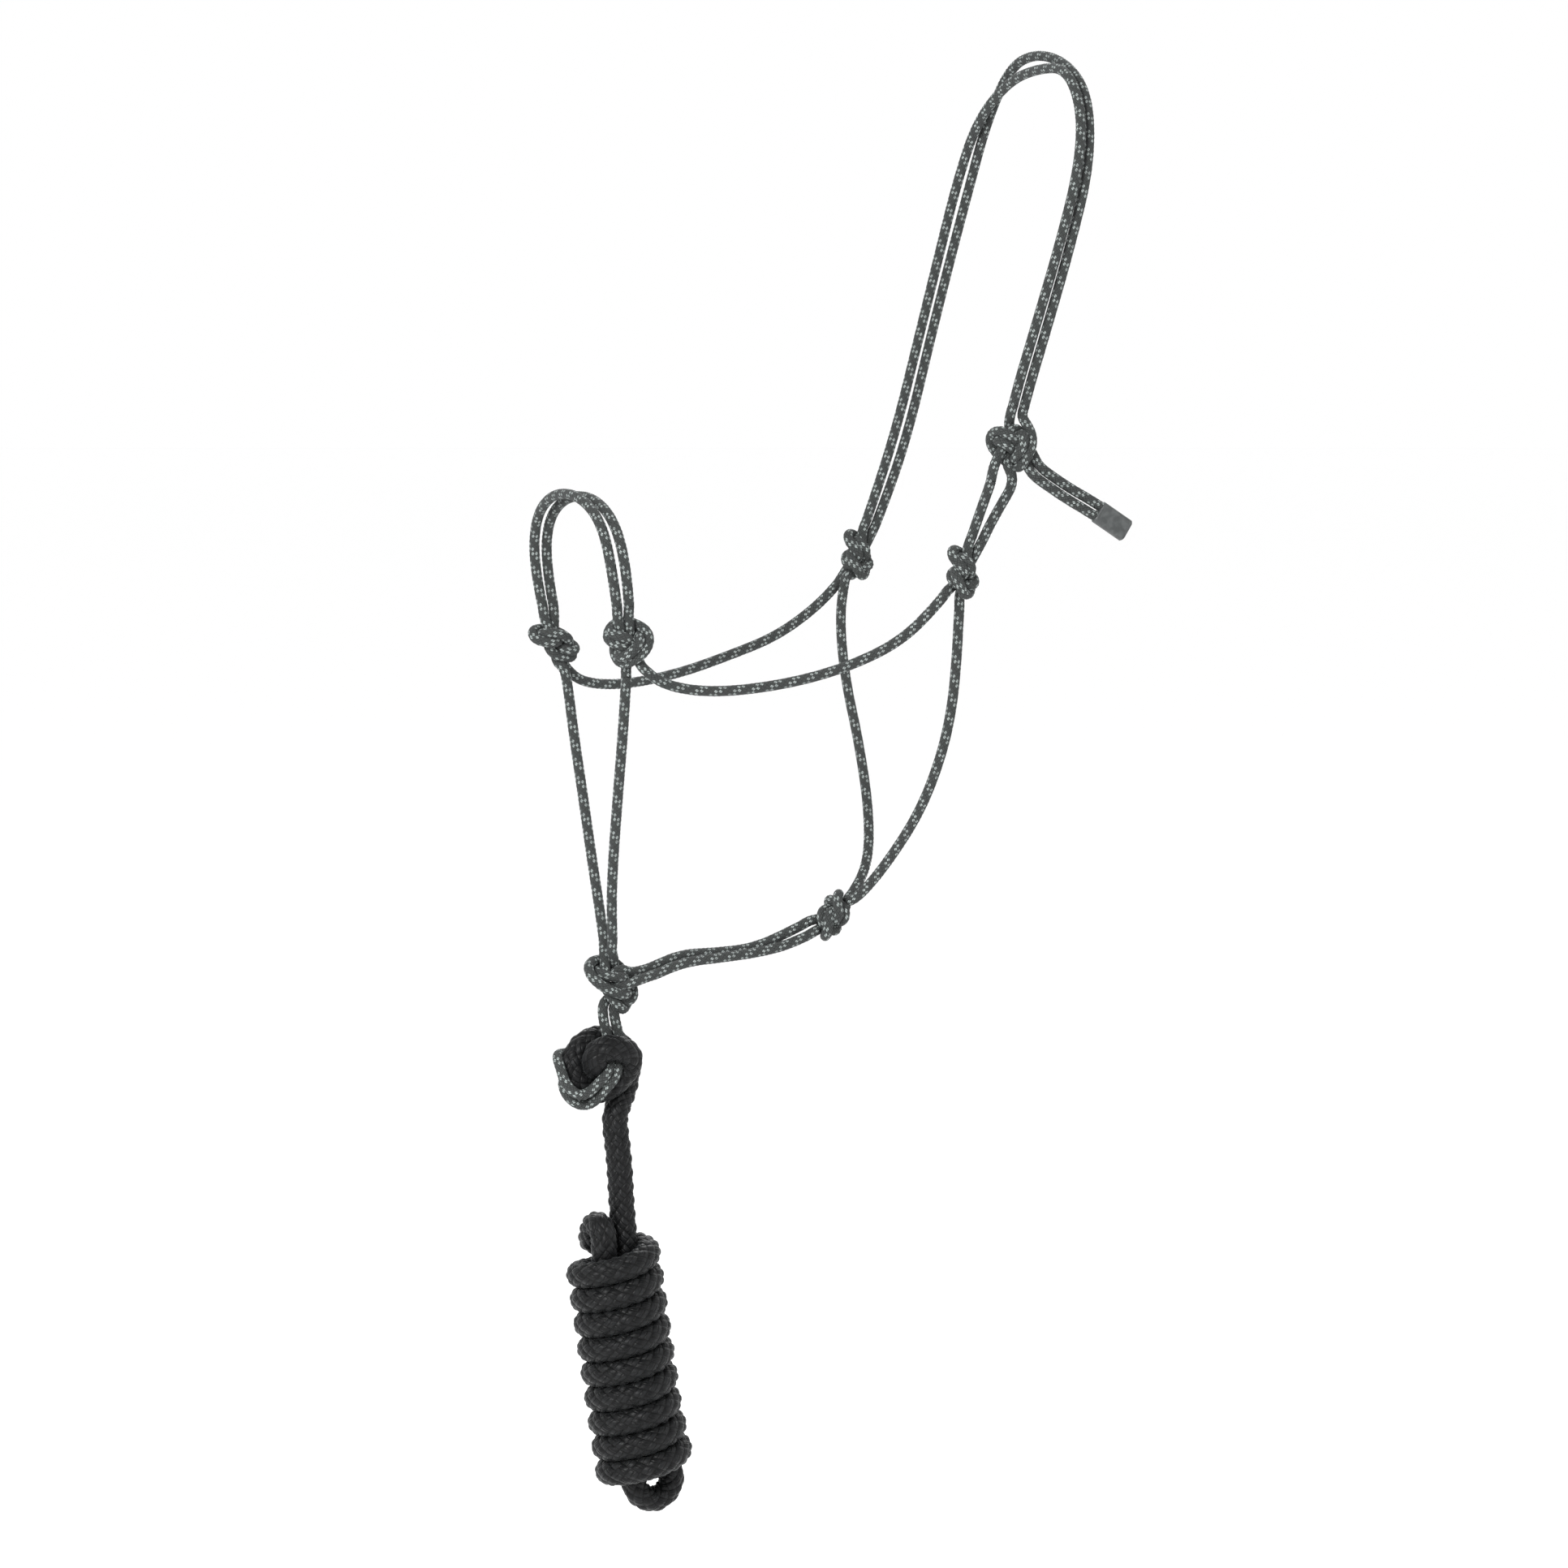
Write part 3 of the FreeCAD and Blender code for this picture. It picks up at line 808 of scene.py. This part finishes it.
def blend_above(knot, body):
    """Where a knot's cords turn from its own body to the body above it."""
    centre, up = KNOT_PLACES[knot]
    centre = np.asarray(centre)
    if body == BODY_OF[knot]:
        return None
    return BODY_OF[knot], body, centre + unit(up) * BLEND_FROM, centre + unit(up) * BLEND_TO


for knot, (turn, pairs) in OVERHAND_KNOTS.items():
    centre, up = KNOT_PLACES[knot]
    loose = loose_pair(OVERHAND, knot_axes(up, turn), centre)
    lines = [knot_line(knot, line, *pair) for line, pair in zip(loose, pairs)]
    lines = drawn_tight(lines, [CORD_R, CORD_R], KNOT_ROUNDS, KNOT_PULL, centre)
    for index, (line, (upper, lower)) in enumerate(zip(lines, pairs)):
        nodes = [knot] if index == 0 else []
        add_piece(f"{knot}_cord_{index + 1}", knot_stretch(knot, line, upper, lower), BODY_OF[knot], *nodes,
                  blend=blend_above(knot, BODY_OF[upper]))


# ---- the tie knot: the crown's two cords and the loop that they are tied to -----------------------
TAIL_WAY = unit((0.84, 0, -0.535))
TAIL_BLEND = (0.014, 0.024)       # from the tie knot's centre, where its cords begin to turn with the tails
centre, up = KNOT_PLACES["tie_knot"]
axes = knot_axes(up)
loose = loose_pair(SHEET_BEND, axes, centre) + [loose_line(TIE_LOOP, axes, centre)]
pairs = [("crown_front_strand", "tail_lower"), ("crown_rear_strand", "tail_upper"),
         ("tie_loop_front", "tie_loop_rear")]
lines = [knot_line("tie_knot", line, *pair) for line, pair in zip(loose, pairs)]
lines = drawn_tight(lines, [CORD_R] * 3, TIE_ROUNDS, TIE_PULL, centre)
tail_blend = ("crown", "tail", *[np.asarray(centre) + TAIL_WAY * reach for reach in TAIL_BLEND])
for index, (line, (first, last)) in enumerate(zip(lines, pairs)):
    if last.startswith("tail"):
        stretch = joined_stretch(line[::-1], CORD_BRAID, stretches[last], stretches[first])
        add_piece(f"tie_knot_cord_{index + 1}", stretch, "crown", blend=tail_blend)
    else:
        stretch = joined_stretch(line, CORD_BRAID, stretches[first], stretches[last])
        add_piece(f"tie_knot_cord_{index + 1}", stretch, "crown", "tie_knot")

# ---- the chin knot: an overhand knot whose lower cords make the chin loop, with the jaw cords in it -
CHIN_TURN = -135                  # degrees, as for the other overhand knots
LOOP_EXITS = [[(-0.2915, 0, -0.5665), (-0.2913, 0, -0.5745)], [(-0.2985, 0, -0.5665), (-0.2987, 0, -0.5745)]]
CHIN_BLEND = (-0.0165, -0.0255)   # below the knot's centre, where its cords turn with the chin loop
centre, up = KNOT_PLACES["chin_knot"]
uppers = ["chin_strand_near", "chin_strand_off"]
jaws = ["jaw_strand_upper", "jaw_strand_lower"]
loose = loose_pair(OVERHAND, knot_axes(up, CHIN_TURN), centre)
lines = [through(inner_end(upper, "chin_knot", LEAD_IN), line, np.array(ends))
         for upper, line, ends in zip(uppers, loose, LOOP_EXITS)]
for jaw, line in zip(jaws, loose_pair(JAW_TUCK, knot_axes(up), centre)):
    lines.append(evenly(np.vstack([inner_end(jaw, "chin_knot", LEAD_IN), line]), LOOSE_GAP))
lines = drawn_tight(lines, [CORD_R] * 4, CHIN_ROUNDS, CHIN_PULL, centre)
chin_place = np.asarray(centre)
chin_blend = ("headstall", "chin_loop", *[chin_place + (0, 0, height) for height in CHIN_BLEND])
chin_stretches = [knot_stretch("chin_knot", line, upper, None) for line, upper in zip(lines, uppers)]
for index, stretch in enumerate(chin_stretches):
    nodes = ["chin_knot"] if index == 0 else []
    add_piece(f"chin_knot_cord_{index + 1}", stretch, "headstall", *nodes, blend=chin_blend)
for index, (line, jaw) in enumerate(zip(lines[2:], jaws)):
    stretch = joined_stretch(line, CORD_BRAID, stretches[jaw])
    add_piece(f"chin_knot_jaw_cord_{index + 1}", stretch, "headstall")

# ---- the lead rope's hitch, with the chin loop through it ----------------------------------------
# each place is (x, z, how far it stands out towards the camera)
HITCH_ROPE = [
    (-0.2834, -0.6161, -0.010), (-0.2812, -0.6012, -0.0145), (-0.2900, -0.5885, -0.015),
    (-0.3050, -0.5860, -0.010), (-0.3165, -0.5935, -0.005), (-0.3185, -0.6080, -0.002),
    (-0.3110, -0.6200, -0.002), (-0.2985, -0.6175, -0.004), (-0.2890, -0.6085, -0.001),
    (-0.2815, -0.5985, 0.006), (-0.2905, -0.5920, 0.0125), (-0.3040, -0.5930, 0.011),
    (-0.3115, -0.5990, 0.004), (-0.3060, -0.6080, -0.003), (-0.2990, -0.6055, -0.010)]
LOOP_ROPES = [
    [(-0.2913, -0.5745, 0), (-0.2900, -0.5810, 0), (-0.2880, -0.5870, -0.001), (-0.2870, -0.5950, 0),
     (-0.2865, -0.6040, 0.007), (-0.2920, -0.6130, 0.011), (-0.2990, -0.6205, 0.011),
     (-0.3055, -0.6275, 0.006), (-0.3140, -0.6290, -0.001), (-0.3220, -0.6235, -0.006),
     (-0.3265, -0.6150, -0.010), (-0.3245, -0.6060, -0.015), (-0.3170, -0.6060, -0.017),
     (-0.3090, -0.6080, -0.012)],
    [(-0.2987, -0.5745, 0), (-0.2977, -0.5810, 0), (-0.2960, -0.5870, -0.001), (-0.2940, -0.5950, 0),
     (-0.2925, -0.6030, 0.007), (-0.2975, -0.6105, 0.011), (-0.3045, -0.6175, 0.012),
     (-0.3120, -0.6235, 0.010), (-0.3190, -0.6190, 0.010), (-0.3250, -0.6115, 0.006),
     (-0.3270, -0.6030, 0), (-0.3250, -0.5960, -0.010), (-0.3180, -0.5965, -0.016),
     (-0.3105, -0.6010, -0.014), (-0.3060, -0.6050, -0.008)]]
LOOP_NODES = [("chin_loop_rear", "chin_loop_turn_lower"), ("chin_loop_front", "chin_loop_turn_upper")]
LEAD_SEAM = -0.650                # the height where the hitch's rope ends and the standing part begins
HITCH_BLEND = (-0.623, -0.650)    # the heights between which the hitch's rope turns with the lead
HITCH_BLEND_X = -0.2934
towards_camera = unit(CAMERA_SIDE)


def placed(places):
    """The hitch's places in the object's own frame."""
    return [tuple(np.array((x, 0, z)) + towards_camera * out) for x, z, out in places]


def bend_down(first, second, ends, x):
    """A blend between two bodies that goes down from one height to another."""
    return first, second, (x, 0, ends[0]), (x, 0, ends[1])


standing_start = ROUTES["lead_standing_part"][3::-1]
hitch_line = evenly(nurbs_line("hitch", standing_start + placed(HITCH_ROPE)), LINE_GAP)
hitch_line = hitch_line[np.argmax(hitch_line[:, 2] > LEAD_SEAM):]
loop_lines = [nurbs_line("chin_loop", placed(places)) for places in LOOP_ROPES]
lines = [evenly(hitch_line, HITCH_GAP)] + [evenly(line, LOOSE_GAP) for line in loop_lines]
hitch_line, *loop_lines = drawn_tight(lines, [LEAD_R, CORD_R, CORD_R], HITCH_ROUNDS, HITCH_PULL)


def add_rope(name, stretch, body, *nodes, blend=None):
    """A length of the lead rope."""
    piece = braided_mesh(name, stretch, LEAD_R, LEAD_BRAID)
    piece.data.materials.append(lead_material)
    return fitted(piece, body, nodes, blend)


hitch_stretch = free_stretch(hitch_line, LEAD_BRAID)
add_rope("lead_hitch_rope", hitch_stretch, "chin_loop", "lead_hitch",
         blend=bend_down("chin_loop", "lead", HITCH_BLEND, HITCH_BLEND_X))
for index, (line, upper, nodes) in enumerate(zip(loop_lines, uppers, LOOP_NODES)):
    if travel(upper)[1] == "chin_knot":
        stretch = joined_stretch(line, CORD_BRAID, chin_stretches[index])
    else:
        stretch = joined_stretch(line[::-1], CORD_BRAID, None, chin_stretches[index])
    add_piece(f"chin_loop_cord_{index + 1}", stretch, "chin_loop", *nodes, blend=chin_blend)

# ---- the lead rope from the hitch to the hank ----------------------------------------------------
STANDING_END = [(-0.2853, 0, -0.735), (-0.2845, 0, -0.752)]
LEAD_BLEND = ((-0.2871, 0, -0.688), (-0.2847, 0, -0.7142))
standing_line = nurbs_line("lead_standing_part", ROUTES["lead_standing_part"] + STANDING_END)
standing_line = evenly(standing_line, LINE_GAP)
standing_line = np.vstack([hitch_line[:1], standing_line[standing_line[:, 2] < hitch_line[0][2]]])
standing_stretch = joined_stretch(standing_line[::-1], LEAD_BRAID, None, hitch_stretch)
piece = add_rope("lead_standing_rope", standing_stretch, "lead", "lead_standing_part",
                 blend=("lead", "hank", *LEAD_BLEND))

# ---- the hank ------------------------------------------------------------------------------------
HANK_TOP = np.array((-0.2925, 0, -0.725))
HANK_BOTTOM = np.array((-0.274, 0, -0.848))
HANK_TURNS = 9
HANK_R = 0.0217
CORNER_SHARE = 0.966              # a spline with twelve points to a turn runs this far out towards them
TURN_POINTS = 12
PITCH = np.linalg.norm(HANK_BOTTOM - HANK_TOP) / (HANK_TURNS - 1)
BULGE = 0.0035                    # the lowest turns hang a little to the right
BULGE_TURNS = 2.5
# runs of the rope inside the hank and at its two ends, listed point by point
HANK_START = [
    (-0.2845, 0, -0.752), (-0.2830, 0, -0.765), (-0.2785, 0, -0.790), (-0.2735, 0, -0.820),
    (-0.2660, 0, -0.843), (-0.2575, 0, -0.851), (-0.2530, 0, -0.860), (-0.2560, 0, -0.870),
    (-0.2665, 0, -0.8755), (-0.2770, 0, -0.870), (-0.2800, 0, -0.860), (-0.2800, 0, -0.846),
    (-0.2830, 0, -0.820), (-0.2885, 0, -0.790), (-0.2935, 0, -0.760), (-0.2965, -0.001, -0.735),
    (-0.3010, -0.006, -0.724), (-0.3024, -0.009, -0.711), (-0.3024, -0.0065, -0.7015),
    (-0.3024, 0.0065, -0.7015), (-0.3015, 0.0135, -0.711), (-0.2985, 0.0200, -0.7155)]
HANK_END = [(-0.2660, 0.0150, -0.856), (-0.2650, 0.0060, -0.848), (-0.2700, 0.0050, -0.838)]


def hank_points():
    """The rope's way up and down inside the hank, then its turns from the top down."""
    down = unit(HANK_BOTTOM - HANK_TOP)
    aside = unit(np.cross((0, 1, 0), -down))
    points = list(HANK_START)
    for step in range(1, HANK_TURNS * TURN_POINTS):
        turns = step / TURN_POINTS
        angle = math.pi / 2 - 2 * math.pi * turns
        radius = HANK_R / CORNER_SHARE
        low = max(0, turns - HANK_TURNS + BULGE_TURNS) / BULGE_TURNS
        middle = HANK_TOP + down * PITCH * (turns - 0.5)
        middle = middle + aside * BULGE * low * (1 + math.cos(angle)) / 2
        point = middle + aside * radius * math.cos(angle) + np.array((0, radius * math.sin(angle), 0))
        points.append(tuple(point))
    return points + HANK_END


hank_line = nurbs_line("hank", hank_points())
hank_stretch = joined_stretch(hank_line[::-1], LEAD_BRAID, None, standing_stretch)
piece = add_rope("hank_rope", hank_stretch, "hank", "hank_turns", "hank_top_bight", "hank_bottom_bight")

# ---- the sleeve that holds the two tails together --------------------------------------------------
SLEEVE_START = np.array((-0.0096, -0.093, -0.2683))
SLEEVE_WAY = unit((0.84, -0.06, -0.535))
SLEEVE_LENGTH = 0.023
SLEEVE_HALF_WIDTH = 0.0073
SLEEVE_HALF_THICK = 0.0040
SLEEVE_WAIST = 0.0004             # it dips between the two cords under it
SLEEVE_EDGE = 0.0008
SLEEVE_AROUND = 48                # points round it
SLEEVE_STEPS = 12                 # rings along it
WAIST_SHARPNESS = 8
FLAT_MIDDLE = 0.01                # nearer to its middle than this, a ring's point is on neither side
SHARP_FROM = 50                   # degrees between two faces


def add_sleeve():
    """A flat tube with rounded sides and closed ends, over the tails' two cords."""
    across = np.array((0.535, 0, 0.84))
    across = unit(across - SLEEVE_WAY * (across @ SLEEVE_WAY))
    thick = np.cross(SLEEVE_WAY, across)
    around = SLEEVE_AROUND
    rows = [(0, SLEEVE_EDGE), (SLEEVE_EDGE, 0)]
    rows += [(SLEEVE_LENGTH * part / SLEEVE_STEPS, 0) for part in range(1, SLEEVE_STEPS)]
    rows += [(SLEEVE_LENGTH - SLEEVE_EDGE, 0), (SLEEVE_LENGTH, SLEEVE_EDGE)]
    points = []
    for along, inset in rows:
        for index in range(around):
            angle = 2 * math.pi * index / around
            half_width = SLEEVE_HALF_WIDTH - SLEEVE_HALF_THICK
            side = 0
            if abs(math.cos(angle)) > FLAT_MIDDLE:
                side = math.copysign(half_width, math.cos(angle))
            waist = SLEEVE_WAIST * abs(math.sin(angle)) ** WAIST_SHARPNESS
            reach = SLEEVE_HALF_THICK - inset - waist
            point = SLEEVE_START + SLEEVE_WAY * along
            point = point + across * (side + reach * math.cos(angle)) + thick * reach * math.sin(angle)
            points.append(tuple(point))
    faces = []
    for row in range(len(rows) - 1):
        for index in range(around):
            following = (index + 1) % around
            faces.append((row * around + index, row * around + following,
                          (row + 1) * around + following, (row + 1) * around + index))
    last = (len(rows) - 1) * around
    faces += [tuple(range(around))[::-1], tuple(range(last, last + around))]
    mesh = bpy.data.meshes.new("tail_sleeve")
    mesh.from_pydata(points, [], faces)
    mesh.polygons.foreach_set("use_smooth", [True] * len(mesh.polygons))
    mesh.set_sharp_from_angle(angle=math.radians(SHARP_FROM))
    piece = bpy.data.objects.new("tail_sleeve", mesh)
    bpy.context.scene.collection.objects.link(piece)
    piece.data.materials.append(sleeve_material)
    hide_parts("tail_end_sleeve")
    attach(piece, "tail")


add_sleeve()
